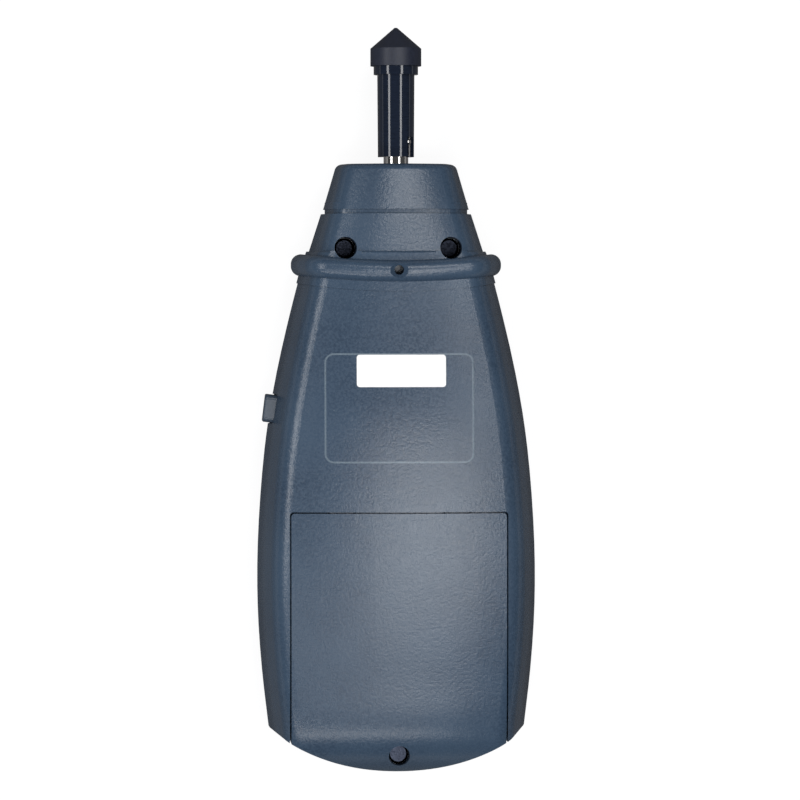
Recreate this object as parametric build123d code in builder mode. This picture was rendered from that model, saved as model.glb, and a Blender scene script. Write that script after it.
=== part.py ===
from build123d import *
import os
from math import cos, radians, sin, sqrt, tan

# Handheld contact tachometer, lying on its display side.
# +Z points out of the back, +Y runs along the spindle towards the measuring tip and +X is to the
# right when the back is looked at. A station is a distance from the bottom end of the housing
# along +Y, and a height is a distance above the flat front face.

os.makedirs("parts", exist_ok=True)

# Housing depth and walls
spindle_height = 18.5
back_depth = 18.5
wall = 2.0
fit_gap = 0.3

# Housing outline: stations of the main points with their half widths, and where the back falls
end_half_width = 33.95
lower_station = 22.0
lower_half_width = 35.0
waist_station = 36.0
waist_half_width = 36.2
widest_station = 51.0
widest_half_width = 36.65
grip_station = 72.0
grip_half_width = 35.8
button_row_station = 90.0
button_row_half_width = 33.95
shoulder_station = 108.0
shoulder_half_width = 30.7
shoulder_back_depth = 17.6
throat_station = 122.0
throat_half_width = 27.4
throat_back_depth = 16.4
neck_station = 136.1
neck_half_width = 23.7
neck_back_depth = 15.2
neck_edge_radius = 0.7
seam_depth = 0.25
seam_height = 0.35
outline_steps = 14

# Housing cross-section
side_draft = 17.0
shoulder_radius = 6.5
inner_radius_share = 0.6
body_crown = 3.8
neck_crown = 2.8
front_draft = 8.0
front_edge_radius = 5.0
front_rise_station = 118.0
front_rise = 3.0

# Rounded bottom end
end_rim_radius = 14.0
end_rim_station = 13.2
end_rim_angles = (80, 62, 44, 24)
end_crown = 3.5
end_arc_radius = 57.0
end_side_lean = 0.12
end_shoulder_share = 0.45
end_corner_radius = 2.0
end_corner_margin = 0.03

# Conical nose and its cap
nose_base_half_width = 22.95
nose_base_depth = 14.6
nose_end_station = 145.9
nose_taper = 17.9
nose_depth_taper = 9.8
nose_crown = 3.2
nose_shoulder_radius = 6.0
cap_base_station = 147.1
cap_top_station = 159.0
cap_base_half_width = 19.2
cap_base_depth = 12.5
cap_taper = 16.4
cap_depth_taper = 12.5
cap_edge_radius = 2.0
cap_wall = 1.8
spigot_setback = 1.0
spigot_length = 4.6

# Bead round the neck
bead_station = 133.2
bead_bow = 2.4
bead_width = 5.8
bead_half_width = 27.7
bead_depth = 17.9
bead_edge_radius = 2.6
bead_shoulder_radius = 7.5
bead_crown = 3.0
foot_reach = 5.2
foot_height = 0.35
bead_hole_radius = 1.25
bead_hole_depth = 8.0
bead_hole_station = 131.1
bead_hole_mouth_radius = 2.4
bead_boss_wall = 1.3

# Battery door
door_half_width = 28.05
door_top_station = 68.2
door_lip_height = 20.5
door_thickness = 1.8
door_gap = 0.4
door_seat_gap = 0.3
seat_gap = 0.1
door_corner_radius = 0.9
door_screw_station = 4.6
door_screw_bore_radius = 2.75
door_boss_radius = 3.7
door_boss_bottom = 23.0
door_boss_floor = 2.0
tab_offset = 15.0
tab_width = 6.0
tab_reach = 1.8
tab_thickness = 1.4
tab_drop = 5.35
tab_room = 1.7
rib_offsets = (-21.0, -7.0, 7.0, 21.0)
rib_width = 1.2
rib_margin = 6.0

# Battery compartment and cells
cell_radius = 7.1
cell_length = 50.5
cell_nub_radius = 2.75
cell_edge = 0.55
cell_nub_length = 1.2
cell_gap = 0.2
cell_count = 4
first_cell_station = 9.6
cell_height = 24.0
compartment_half_width = 27.0
compartment_wall = 2.0
compartment_end_gap = 0.3
compartment_floor = 1.6
contact_thickness = 0.4
contact_height = 11.0
leaf_span = 8.0
leaf_width = 4.0
terminal_width = 9.0

# Screws of the housing
nose_screw_offset = 13.75
nose_screw_station = 136.9
nose_screw_bore_radius = 2.9
nose_screw_seat = 18.5
nose_tower_radius = 4.2
nose_tower_floor = 1.8
screw_head_radius = 2.6
screw_head_height = 2.0
head_rounding = 0.25
drive_length = 1.2
drive_width = 0.3
drive_depth = 0.55
screw_shank_radius = 1.4
screw_clearance = 0.1
nose_screw_length = 10.0
housing_screw_offset = 16.0
housing_screw_length = 9.0
housing_head_height = 1.5
pilot_spare = 1.0
door_screw_length = 8.0
boss_radius = 3.4

# Label frame and label on the back
frame_station = 95.2
frame_width = 38.8
frame_height = 28.45
frame_corner_radius = 2.4
frame_line = 0.35
frame_depth = 0.25
label_offset = 0.5
label_station = 104.9
label_width = 23.2
label_height = 8.4
label_corner_radius = 0.8
label_thickness = 0.15
label_recess = 0.1
label_margin = 0.05

# Display
display_station = 96.0
window_width = 46.0
window_height = 24.0
window_thickness = 1.1
window_rebate = 1.2
window_land = 1.5
lcd_frame_width = 50.0
lcd_frame_height = 28.0
lcd_frame_lip = 0.8
lcd_width = 46.0
lcd_height = 24.0
lcd_thickness = 2.4
strip_width = 2.0

# Main board
board_bottom = 8.0
board_thickness = 1.6
board_half_width = 26.0
board_bottom_station = 44.0
board_shoulder_station = 108.0
board_top_station = 128.0
board_top_half_width = 20.0
board_notch_half_width = 13.0
board_notch_station = 121.0
board_screw_lower = (22.0, 49.0)
board_screw_upper = (20.5, 115.0)
board_boss_radius = 2.6
board_screw_radius = 1.0
board_screw_head_radius = 2
board_screw_head_height = 1.3
board_screw_length = 5.0

# Components on the main board
chip_offset = -8.0
chip_station = 88.0
chip_size = 12.0
chip_thickness = 1.6
crystal_offset = 6.0
crystal_width = 11.0
crystal_height = 4.6
crystal_corner_radius = 2.2
crystal_thickness = 3.5
capacitor_offset = 18.0
capacitor_stations = (84.0, 92.0)
capacitor_radius = 2.5
capacitor_height = 5.0

# Measuring button on the left edge
button_station = 95.1
button_tilt = 7.0
button_face_offset = 34.9
button_length = 7.3
button_height = 8.0
button_clearance = 0.25
button_depth = 5.9
button_flange = 1.0
button_flange_thickness = 1.2
button_stem_radius = 1.5
button_stem_length = 0.6
button_travel = 1.0
button_dish_radius = 9.5
button_dish_depth = 0.6
button_corner_radius = 1.3
button_edge_radius = 0.4
plunger_radius = 1.6
plunger_length = 3.0
plunger_clearance = 0.1
switch_setback = 1.3
switch_depth = 4.0
switch_width = 6.0
switch_top = 21.5

# Function switch and memory button on the front
control_station = 71.0
knob_offset = -10.0
knob_width = 9.0
knob_height = 7.0
knob_setback = 0.25
knob_pocket_depth = 1.2
knob_travel = 2.5
knob_stem_width = 2.2
knob_stem_height = 2.4
knob_stem_top = 5.8
knob_groove_count = 5
knob_groove_pitch = 1.6
knob_groove_depth = 0.35
function_switch_width = 14.0
function_switch_height = 7.0
function_switch_bottom = 4.6
memory_offset = 14.0
memory_radius = 3.85
memory_setback = 0.3
memory_flange_radius = 4.8
memory_flange_thickness = 1.0
memory_stem_radius = 1.6
memory_stem_top = 4.5
memory_plunger_radius = 1.5
memory_plunger_top = 6.3
memory_switch_bottom = 5.4
memory_switch_size = 6.0

# Spindle, bearings and encoder
spindle_tail_station = 119.5
spindle_tail_radius = 2.0
spindle_step_station = 128.0
journal_radius = 3.0
spindle_radius = 3.25
spindle_end_station = 178.0
spindle_chamfer = 0.6
bearing_radius = 6.5
bearing_recess = 0.3
bearing_width = 5.0
bearing_clearance = 0.05
rear_bearing_station = 131.0
front_bearing_station = 150.5
block_radius = 8.0
block_bore_radius = 5.0
block_flange_radius = 9.2
block_flange_station = 142.4
block_flange_width = 1.2
saddle_width = 2.3
saddle_half_width = 12.0
rear_saddle_station = 133.0
ring_width = 0.8
ring_radius = 4.8
ring_groove = 0.4
disc_station = 124.0
disc_thickness = 0.8
disc_radius = 11.0
disc_slot_count = 20
disc_slot_radius = 8.8
disc_slot_width = 1.2
disc_slot_length = 2.6
hub_radius = 5.0
hub_length = 3.2
hub_boss_radius = 4.0
hub_flange = 1.1
interrupter_gap = 3.0
interrupter_arm = 3.4
interrupter_reach = 8.4
interrupter_slot_depth = 5.6
interrupter_width = 9.6
interrupter_height = 12.0

# Measuring adapter
sleeve_bottom_station = 160.96
sleeve_mouth_radius = 4.75
sleeve_radius = 4.9
sleeve_top_station = 182.56
sleeve_bore_clearance = 0.05
sleeve_bore_spare = 0.5
collar_radius = 5.85
collar_height = 2.27
cone_radius = 6.7
cone_skirt = 4.57
cone_height = 5.5
cone_stem_radius = 3.0
cone_stem_length = 5.4
cone_tip_radius = 0.35
pin_angle = 53.0
pin_station = 164.9
pin_radius = 0.72
pin_length = 8.9
slot_width = 2.6
slot_length = 5.2

# Sizes worked out from those above
body_depth = spindle_height + back_depth
overall_length = sleeve_top_station + collar_height + cone_skirt + cone_height
half_length = overall_length / 2
board_top = board_bottom + board_thickness
spindle_axis = Axis((0, 0, spindle_height), (0, 1, 0))
compartment_start = first_cell_station - compartment_end_gap
compartment_end = (
    first_cell_station + cell_count * (2 * cell_radius + cell_gap) - cell_gap + compartment_end_gap
)
floor_top = cell_height - cell_radius - compartment_end_gap
floor_bottom = floor_top - compartment_floor
above_housing = body_depth + 10
tab_bottom = body_depth - tab_drop
below_housing = -1
touch = 0.01


def station_plane(station):
    """Cross-section plane at a station, seen from the bottom end: local x is X and y is Z."""
    return Plane(
        origin=(0, station - half_length, spindle_height), x_dir=(1, 0, 0), z_dir=(0, -1, 0)
    )


def level(height):
    """Plane at a height above the front face: local x is X and local y is the station."""
    return Plane(origin=(0, -half_length, height), x_dir=(1, 0, 0), z_dir=(0, 0, 1))


def back_section(station, half_width, depth, crown, radius, inset):
    """Crowned cross-section of the back half, with leaning sides and round shoulders."""
    width = half_width - inset
    crest = depth - inset
    edge = crest - crown
    corner = width - edge * tan(radians(side_draft))
    with BuildSketch(station_plane(station)) as section:
        with BuildLine():
            Polyline((-corner, edge), (-width, 0), (width, 0), (corner, edge))
            ThreePointArc((corner, edge), (0, crest), (-corner, edge))
        make_face()
        fillet(section.vertices().group_by(Axis.Y)[-1], radius - inset * inner_radius_share)
    return section.sketch


def front_section(station, half_width, depth, inset):
    """Flat-faced cross-section of the front half."""
    width = half_width - inset
    face = depth - inset
    corner = width - face * tan(radians(front_draft))
    with BuildSketch(station_plane(station)) as section:
        with BuildLine():
            Polyline((-corner, -face), (-width, 0), (width, 0), (corner, -face), close=True)
        make_face()
        fillet(section.vertices().group_by(Axis.Y)[0], front_edge_radius - inset * inner_radius_share)
    return section.sketch


def body_outline():
    """Evenly spread points of the outline: station, half width, back depth and crown of each."""
    with BuildLine() as outline:
        Spline(
            (end_rim_station, end_half_width, back_depth),
            (lower_station, lower_half_width, back_depth),
            (waist_station, waist_half_width, back_depth),
            (widest_station, widest_half_width, back_depth),
            (grip_station, grip_half_width, back_depth),
            (button_row_station, button_row_half_width, back_depth),
            (shoulder_station, shoulder_half_width, shoulder_back_depth),
            (throat_station, throat_half_width, throat_back_depth),
            (neck_station, neck_half_width, neck_back_depth),
        )
    points = [outline.line @ (index / outline_steps) for index in range(outline_steps + 1)]
    crown_fall = (body_crown - neck_crown) / (back_depth - neck_back_depth)
    return [
        (point.X, point.Y, min(point.Z, back_depth),
         body_crown - (back_depth - min(point.Z, back_depth)) * crown_fall)
        for point in points
    ]


def plan_section(height, inset, draft):
    """Plan of the bottom end at a height: a wide arc between round corners and leaning sides."""
    lean = abs(height - spindle_height) * tan(radians(draft))
    radius = end_arc_radius - inset
    rise = end_arc_radius - sqrt(end_arc_radius**2 - end_half_width**2)
    corner = end_half_width - (end_rim_station - rise) * end_side_lean
    side = corner + end_corner_margin - inset - lean
    start = end_arc_radius - sqrt(radius**2 - side**2)
    far = side + (neck_station - start) * (end_side_lean + end_corner_margin)
    with BuildSketch(level(height)) as section:
        with BuildLine():
            ThreePointArc((-side, start), (0, inset), (side, start))
            Polyline((side, start), (far, neck_station), (far, overall_length),
                     (-far, overall_length), (-far, neck_station), (-side, start))
        make_face()
        fillet(section.vertices().group_by(Axis.Y)[0], end_corner_radius - inset / 2)
    return section.sketch


def plan_form(inset, is_back):
    """Form whose lower end is the plan arc of the bottom end, from the parting plane outwards."""
    outer = above_housing if is_back else below_housing
    draft = side_draft if is_back else front_draft
    with BuildPart() as form:
        loft([plan_section(spindle_height, inset, draft), plan_section(outer, inset, draft)],
             ruled=True)
    return form.part


def back_body(inset):
    """Back half of the body, lofted from its rounded end to the neck and cut to the plan arc."""
    sections = []
    rim = end_rim_radius - inset
    for angle in end_rim_angles:
        station = end_rim_station - rim * sin(radians(angle))
        depth = back_depth - end_rim_radius + rim * cos(radians(angle)) + inset
        half_width = end_half_width - (end_rim_station - station) * end_side_lean
        radius = min(shoulder_radius, depth * end_shoulder_share)
        sections.append(back_section(station, half_width, depth, end_crown, radius, inset))
    for station, half_width, depth, crown in body_outline():
        sections.append(back_section(station, half_width, depth, crown, shoulder_radius, inset))
    with BuildPart() as form:
        loft(sections)
        add(plan_form(inset, True), mode=Mode.INTERSECT)
    return form.part


def front_rise_form(inset):
    """Wedge that the front face gives up towards the neck."""
    with BuildPart() as wedge:
        with BuildSketch(Plane(origin=(0, -half_length, 0), x_dir=(0, 1, 0), z_dir=(1, 0, 0))):
            with BuildLine():
                Polyline(
                    (front_rise_station, below_housing),
                    (front_rise_station, inset),
                    (neck_station, front_rise + inset),
                    (neck_station + wall, front_rise + inset),
                    (neck_station + wall, below_housing),
                    close=True,
                )
            make_face()
        extrude(amount=body_depth + spindle_height, both=True)
    return wedge.part


def front_body(inset):
    """Front half of the body, with its flat face at height zero."""
    lowest = end_rim_station - end_rim_radius
    lean = (end_rim_station - lowest) * end_side_lean
    sections = [front_section(lowest, end_half_width - lean, spindle_height, inset)]
    for station, half_width, depth, crown in body_outline():
        sections.append(front_section(station, half_width, spindle_height, inset))
    with BuildPart() as form:
        loft(sections)
        add(plan_form(inset, False), mode=Mode.INTERSECT)
        add(front_rise_form(inset), mode=Mode.SUBTRACT)
    return form.part


def nose_section(station, inset, is_back):
    """Cross-section of the conical nose at a station."""
    above_base = station - neck_station
    half_width = nose_base_half_width - above_base * tan(radians(nose_taper))
    depth = nose_base_depth - above_base * tan(radians(nose_depth_taper))
    if is_back:
        return back_section(station, half_width, depth, nose_crown, nose_shoulder_radius, inset)
    return front_section(station, half_width, depth, inset)


def cap_section(station, inset, is_back):
    """Cross-section of the nose cap at a station."""
    above_base = station - cap_base_station
    half_width = cap_base_half_width - above_base * tan(radians(cap_taper))
    depth = cap_base_depth - above_base * tan(radians(cap_depth_taper))
    if is_back:
        return back_section(station, half_width, depth, nose_crown, nose_shoulder_radius, inset)
    return front_section(station, half_width, depth, inset)


def two_section_loft(first, last):
    """Straight loft between two cross-sections."""
    with BuildPart() as form:
        loft([first, last])
    return form.part


def nose_form(start, end, inset, is_back):
    """Stretch of the nose cone between two stations."""
    return two_section_loft(
        nose_section(start, inset, is_back), nose_section(end, inset, is_back)
    )


def cap_form(start, end, inset, is_back):
    """Stretch of the cap's cone between two stations."""
    return two_section_loft(cap_section(start, inset, is_back), cap_section(end, inset, is_back))


def bowed_band(lower, upper, half_width, is_back):
    """Upright prism of a band that is bowed towards the bottom end at the middle."""
    side = 1 if is_back else -1
    with BuildPart() as band:
        with BuildSketch(level(spindle_height)):
            with BuildLine():
                ThreePointArc(
                    (-half_width, lower), (0, lower - bead_bow), (half_width, lower)
                )
                Line((half_width, lower), (half_width, upper))
                ThreePointArc(
                    (half_width, upper), (0, upper - bead_bow), (-half_width, upper)
                )
                Line((-half_width, upper), (-half_width, lower))
            make_face()
        extrude(amount=side * (back_depth + spindle_height))
    return band.part


def bead_form(is_back):
    """Half of the round bead that runs round the neck."""
    if is_back:
        outline = back_section(
            bead_station, bead_half_width, bead_depth, bead_crown, bead_shoulder_radius, 0
        )
    else:
        outline = front_section(bead_station, bead_half_width, bead_depth, 0)
    half = bead_width / 2
    band = bowed_band(bead_station - half, bead_station + half, bead_half_width + wall, is_back)
    with BuildPart() as bead:
        extrude(outline, amount=2 * bead_width, both=True)
        add(band, mode=Mode.INTERSECT)
        rims = bead.edges().filter_by(
            lambda edge: abs(edge.center().Z - spindle_height) > touch
            and abs((edge @ 1 - edge @ 0).Y) < bead_width - 2 * touch
        )
        fillet(rims, bead_edge_radius)
    return bead.part


def rounded_neck(body):
    """The body with the outer edge of its neck end rounded."""
    with BuildPart() as form:
        add(body)
        rim = form.edges().filter_by(
            lambda edge: abs(edge.center().Y - (neck_station - half_length)) < touch
            and abs(edge.center().Z - spindle_height) > touch
        )
        fillet(rim, neck_edge_radius)
    return form.part


def block(x_range, station_range, height_range):
    """Box between two values of X, two stations and two heights."""
    with BuildPart() as box:
        with BuildSketch(level(height_range[0])):
            with Locations((sum(x_range) / 2, sum(station_range) / 2)):
                Rectangle(x_range[1] - x_range[0], station_range[1] - station_range[0])
        extrude(amount=height_range[1] - height_range[0])
    return box.part


def post(x, station, radius, bottom, top):
    """Upright cylinder between two heights."""
    with BuildPart() as cylinder:
        with BuildSketch(level(bottom)):
            with Locations((x, station)):
                Circle(radius)
        extrude(amount=top - bottom)
    return cylinder.part


def save(part, name):
    """Label a finished piece and write it under its node's name."""
    part.label = name
    export_step(part, "parts/" + name + ".step")


# Forms that several pieces share
back_skin = back_body(0)
back_hollow = back_body(wall)
back_door_underside = back_body(door_thickness)
back_seat = back_body(door_thickness + door_seat_gap)
front_skin = front_body(0)
front_hollow = front_body(wall)
spigot_start = cap_base_station - spigot_length


def spigot_outline(inset, is_back):
    """Straight spigot of the cap, which the two covers close on."""
    half_width = nose_base_half_width - spigot_setback
    half_width -= (nose_end_station - neck_station) * tan(radians(nose_taper))
    depth = nose_base_depth - spigot_setback
    depth -= (nose_end_station - neck_station) * tan(radians(nose_depth_taper))
    if is_back:
        return back_section(spigot_start, half_width, depth, nose_crown,
                            nose_shoulder_radius - spigot_setback, inset)
    return front_section(spigot_start, half_width, depth, inset)


def spigot_form(inset, is_back, reach):
    """Stretch of the cap's spigot from its lower end upwards."""
    with BuildPart() as form:
        extrude(spigot_outline(inset, is_back), amount=-reach)
    return form.part


def hollow_form(body_hollow, is_back):
    """Hollow of one cover: body, neck, nose and the seat of the cap's spigot."""
    with BuildPart() as hollow:
        add(body_hollow)
        add(nose_form(neck_station - 2 * wall, spigot_start + wall / 4, wall, is_back))
        add(spigot_form(-fit_gap / 2, is_back, spigot_length + wall))
    return hollow.part


def button_plane():
    """Plane of the measuring button's outer face, with its normal pointing out of the side."""
    tilt = radians(button_tilt)
    return Plane(
        origin=(-button_face_offset, button_station - half_length, spindle_height),
        x_dir=(sin(tilt), cos(tilt), 0),
        z_dir=(-cos(tilt), sin(tilt), 0),
    )


def button_window():
    """Opening in the side wall for the measuring button."""
    with BuildPart() as window:
        with BuildSketch(button_plane()):
            RectangleRounded(
                button_length + 2 * button_clearance,
                button_height + 2 * button_clearance,
                button_corner_radius + button_clearance,
            )
        extrude(amount=-2 * button_depth)
    return window.part


def saddles(skin, is_back):
    """Ribs with half-round notches that the bearing block lies in, trimmed to a cover's skin."""
    side = 1 if is_back else -1
    with BuildPart() as ribs:
        for start in saddle_stations:
            with BuildSketch(station_plane(start)):
                with Locations((0, side * back_depth / 2)):
                    Rectangle(2 * saddle_half_width, back_depth)
                Circle(block_radius, mode=Mode.SUBTRACT)
            extrude(amount=-saddle_width)
        add(skin, mode=Mode.INTERSECT)
    return ribs.part


def compartment_form():
    """Closed block of the compartment and of the land under the door's lower end."""
    half_width = compartment_half_width + compartment_wall
    stations = (below_housing, compartment_end + compartment_wall)
    with BuildPart() as lower:
        add(block((-half_width, half_width), stations, (floor_bottom, spindle_height)))
        add(plan_form(wall + fit_gap, False), mode=Mode.INTERSECT)
    with BuildPart() as form:
        add(block((-half_width, half_width), stations, (spindle_height, above_housing)))
        add(back_body(wall / 2), mode=Mode.INTERSECT)
        add(lower.part)
    return form.part


compartment_cavity = block(
    (-compartment_half_width, compartment_half_width),
    (compartment_start, compartment_end),
    (floor_top, above_housing),
)
screw_row_station = first_cell_station + 2 * (2 * cell_radius + cell_gap) - cell_gap / 2


def door_prism(clearance):
    """Upright prism of the door's outline, grown by a clearance."""
    half_width = door_half_width + clearance
    top = door_top_station + clearance - door_gap
    with BuildPart() as prism:
        with BuildSketch(level(door_lip_height - clearance)):
            with Locations((0, top)):
                Rectangle(2 * half_width, 2 * top, align=(Align.CENTER, Align.MAX))
        extrude(amount=above_housing)
        corners = prism.edges().filter_by(Axis.Z).group_by(Axis.Y)[-1]
        fillet(corners, door_corner_radius)
    return prism.part


def door_recess_form():
    """Room that the door takes out of the back cover."""
    with BuildPart() as recess:
        add(door_prism(door_gap))
        add(back_seat, mode=Mode.SUBTRACT)
    return recess.part


def door_boss_pocket():
    """Pocket for the boss of the door, open towards the bottom end."""
    radius = door_boss_radius + fit_gap
    bottom = door_boss_bottom - seat_gap
    with BuildPart() as pocket:
        add(post(0, door_screw_station, radius, bottom, above_housing))
        add(block((-radius, radius), (below_housing, door_screw_station), (bottom, above_housing)))
    return pocket.part


def tab_slot(x):
    """Slot in the compartment's top wall for one of the door's tabs."""
    half = tab_width / 2 + 2 * door_gap
    return block(
        (x - half, x + half),
        (compartment_end - touch, door_top_station + 2 * tab_reach),
        (tab_bottom - tab_thickness, tab_bottom + tab_thickness + tab_room),
    )


def rounded_prism(x, station, width, height, radius, bottom, top):
    """Upright prism of a rounded rectangle."""
    with BuildPart() as prism:
        with BuildSketch(level(bottom)):
            with Locations((x, station)):
                RectangleRounded(width, height, radius)
        extrude(amount=top - bottom)
    return prism.part


def frame_groove():
    """Thin engraved line that frames the label's field."""
    with BuildPart() as groove:
        with BuildSketch(level(spindle_height)):
            with Locations((0, frame_station)):
                RectangleRounded(frame_width, frame_height, frame_corner_radius)
                RectangleRounded(
                    frame_width - 2 * frame_line,
                    frame_height - 2 * frame_line,
                    frame_corner_radius - frame_line,
                    mode=Mode.SUBTRACT,
                )
        extrude(amount=above_housing)
        add(back_body(frame_depth), mode=Mode.SUBTRACT)
    return groove.part


def label_form(low_inset, high_inset, margin):
    """Slice of the label's outline between two depths under the back's surface."""
    with BuildPart() as plate:
        add(
            rounded_prism(
                label_offset, label_station, label_width + 2 * margin, label_height + 2 * margin,
                label_corner_radius, spindle_height, above_housing,
            )
        )
        add(back_body(high_inset), mode=Mode.INTERSECT)
        add(back_body(low_inset), mode=Mode.SUBTRACT)
    return plate.part


def bead_foot():
    """Low bowed step that the bead stands on, on the side of the bottom end."""
    with BuildPart() as foot:
        add(back_body(-foot_height))
        add(
            bowed_band(bead_station - foot_reach, bead_station, bead_half_width, True),
            mode=Mode.INTERSECT,
        )
    return foot.part


nose_screws_at = ((-nose_screw_offset, nose_screw_station), (nose_screw_offset, nose_screw_station))
housing_screws_at = (
    (-housing_screw_offset, screw_row_station), (housing_screw_offset, screw_row_station)
)
board_screws_at = tuple(
    (side * x, station) for x, station in (board_screw_lower, board_screw_upper)
    for side in (-1, 1)
)
saddle_stations = (rear_saddle_station, block_flange_station - saddle_width - seat_gap)
nose_tower_bottom = nose_screw_seat - nose_tower_floor
pilot_radius = screw_shank_radius + screw_clearance


def cover_skin(body, is_back):
    """Solid outer form of one cover: body, neck and nose."""
    with BuildPart() as form:
        add(body)
        add(nose_form(neck_station - wall, nose_end_station, 0, is_back))
    return form.part


def nose_towers(skin):
    """Tubes round the nose screws in the back cover, up to its skin."""
    with BuildPart() as tubes:
        for x, station in nose_screws_at:
            add(post(x, station, nose_tower_radius, spindle_height, above_housing))
        add(skin, mode=Mode.INTERSECT)
        for x, station in nose_screws_at:
            add(post(x, station, nose_tower_radius, nose_tower_bottom, spindle_height))
    return tubes.part


def bead_boss(skin):
    """Post inside the back cover that closes the blind hole of the bead."""
    bottom = spindle_height + bead_depth - bead_hole_depth - bead_boss_wall
    with BuildPart() as boss:
        add(post(0, bead_hole_station, bead_hole_radius + bead_boss_wall, bottom, above_housing))
        add(skin, mode=Mode.INTERSECT)
    return boss.part


def screw_holes(places, radius, bottom, top):
    """Upright holes of one radius at several places."""
    with BuildPart() as holes:
        for x, station in places:
            add(post(x, station, radius, bottom, top))
    return holes.part


# Back cover
upper_skin = cover_skin(back_skin, True)
with BuildPart() as back_cover:
    add(rounded_neck(back_skin))
    add(nose_form(neck_station - wall, nose_end_station, 0, True))
    add(bead_foot())
    add(bead_form(True))
    add(hollow_form(back_hollow, True), mode=Mode.SUBTRACT)
    add(compartment_form())
    add(compartment_cavity, mode=Mode.SUBTRACT)
    add(door_recess_form(), mode=Mode.SUBTRACT)
    add(door_boss_pocket(), mode=Mode.SUBTRACT)
    add(
        post(0, door_screw_station, pilot_radius, door_boss_bottom - door_screw_length,
             above_housing),
        mode=Mode.SUBTRACT,
    )
    for x in (-tab_offset, tab_offset):
        add(tab_slot(x), mode=Mode.SUBTRACT)
    add(screw_holes(housing_screws_at, pilot_radius, floor_bottom - wall, floor_top + wall),
        mode=Mode.SUBTRACT)
    add(nose_towers(upper_skin))
    add(saddles(upper_skin, True))
    add(bead_boss(upper_skin))
    add(screw_holes(nose_screws_at, nose_screw_bore_radius, nose_screw_seat, above_housing),
        mode=Mode.SUBTRACT)
    add(screw_holes(nose_screws_at, pilot_radius, floor_bottom, above_housing),
        mode=Mode.SUBTRACT)
    add(frame_groove(), mode=Mode.SUBTRACT)
    add(label_form(label_recess, -label_recess, label_margin), mode=Mode.SUBTRACT)
    add(button_window(), mode=Mode.SUBTRACT)
    with Locations((0, bead_hole_station - half_length, spindle_height + bead_depth)):
        CounterSinkHole(bead_hole_radius, bead_hole_mouth_radius, bead_hole_depth, 90)
save(back_cover.part, "back_cover")


def knob_window(bottom, top, width, height):
    """Upright box about the function knob's centre."""
    return block(
        (knob_offset - width / 2, knob_offset + width / 2),
        (control_station - height / 2, control_station + height / 2),
        (bottom, top),
    )


def parting_line():
    """Thin line left open round the rim of the front cover, under the parting plane."""
    with BuildPart() as line:
        add(block((-body_depth, body_depth), (below_housing, nose_end_station),
                  (spindle_height - seam_height, spindle_height)))
        add(front_body(seam_depth), mode=Mode.SUBTRACT)
        add(nose_form(neck_station - wall, nose_end_station + wall, seam_depth, False),
            mode=Mode.SUBTRACT)
    return line.part


def front_bosses(skin):
    """Bosses of all screws in the front cover and the ribs of the bearing block."""
    with BuildPart() as bosses:
        for x, station in nose_screws_at:
            add(post(x, station, boss_radius, 0, nose_tower_bottom - seat_gap))
        for x, station in housing_screws_at:
            add(post(x, station, boss_radius, 0, floor_bottom - seat_gap))
        for x, station in board_screws_at:
            add(post(x, station, board_boss_radius, 0, board_bottom))
        add(skin, mode=Mode.INTERSECT)
        add(saddles(skin, False))
        add(screw_holes(nose_screws_at, nose_tower_radius + seat_gap, nose_tower_bottom - seat_gap,
                        above_housing),
            mode=Mode.SUBTRACT)
    return bosses.part


# Front cover
lower_skin = cover_skin(front_skin, False)
with BuildPart() as front_cover:
    add(lower_skin)
    add(parting_line(), mode=Mode.SUBTRACT)
    add(bead_form(False))
    add(hollow_form(front_hollow, False), mode=Mode.SUBTRACT)
    add(front_bosses(lower_skin))
    add(screw_holes(nose_screws_at, pilot_radius, nose_screw_seat - nose_screw_length - pilot_spare,
                    spindle_height),
        mode=Mode.SUBTRACT)
    add(screw_holes(housing_screws_at, pilot_radius,
                    floor_top - housing_screw_length - pilot_spare, spindle_height),
        mode=Mode.SUBTRACT)
    add(screw_holes(board_screws_at, board_screw_radius + screw_clearance,
                    board_top - board_screw_length - pilot_spare, spindle_height),
        mode=Mode.SUBTRACT)
    add(
        rounded_prism(0, display_station, window_width, window_height, window_land,
                      0, window_rebate),
        mode=Mode.SUBTRACT,
    )
    add(
        rounded_prism(0, display_station, window_width - 2 * window_land,
                      window_height - 2 * window_land, window_land, 0, spindle_height),
        mode=Mode.SUBTRACT,
    )
    add(
        knob_window(0, knob_pocket_depth, knob_width + 2 * knob_travel + 2 * fit_gap,
                    knob_height + 2 * fit_gap),
        mode=Mode.SUBTRACT,
    )
    add(
        knob_window(0, 2 * wall, knob_stem_width + 2 * knob_travel + 2 * fit_gap,
                    knob_stem_height + 2 * fit_gap),
        mode=Mode.SUBTRACT,
    )
    add(post(memory_offset, control_station, memory_radius + fit_gap, 0, 2 * wall),
        mode=Mode.SUBTRACT)
    add(button_window(), mode=Mode.SUBTRACT)
save(front_cover.part, "front_cover")

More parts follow.
